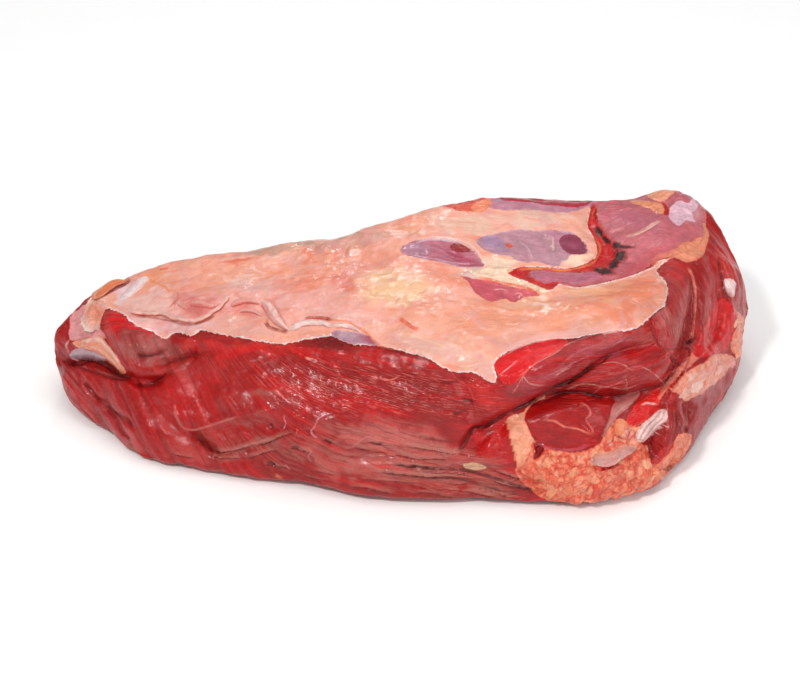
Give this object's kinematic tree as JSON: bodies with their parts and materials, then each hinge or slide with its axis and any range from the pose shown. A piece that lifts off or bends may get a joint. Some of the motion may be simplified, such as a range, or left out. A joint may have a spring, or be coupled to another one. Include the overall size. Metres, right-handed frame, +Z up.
{
  "type": "raw beef shoulder roast",
  "caption": "Boneless raw beef shoulder clod: a wedge of red muscle under a pale membrane, with a thick cut end, lying on its flat side.",
  "frame": {"origin": "middle of the bounding box, on the surface that the roast lies on", "axes": "+X from the narrow end to the thick cut end, +Y from the front flank to the back, +Z up"},
  "size_m": [0.4644, 0.249, 0.1116],
  "materials": {
    "meat": "moist raw red muscle with a satin sheen, under a pale peach membrane with orange fat and mauve patches"
  },
  "bodies": {
    "root": {"roast": "meat"}
  },
  "joints": []
}
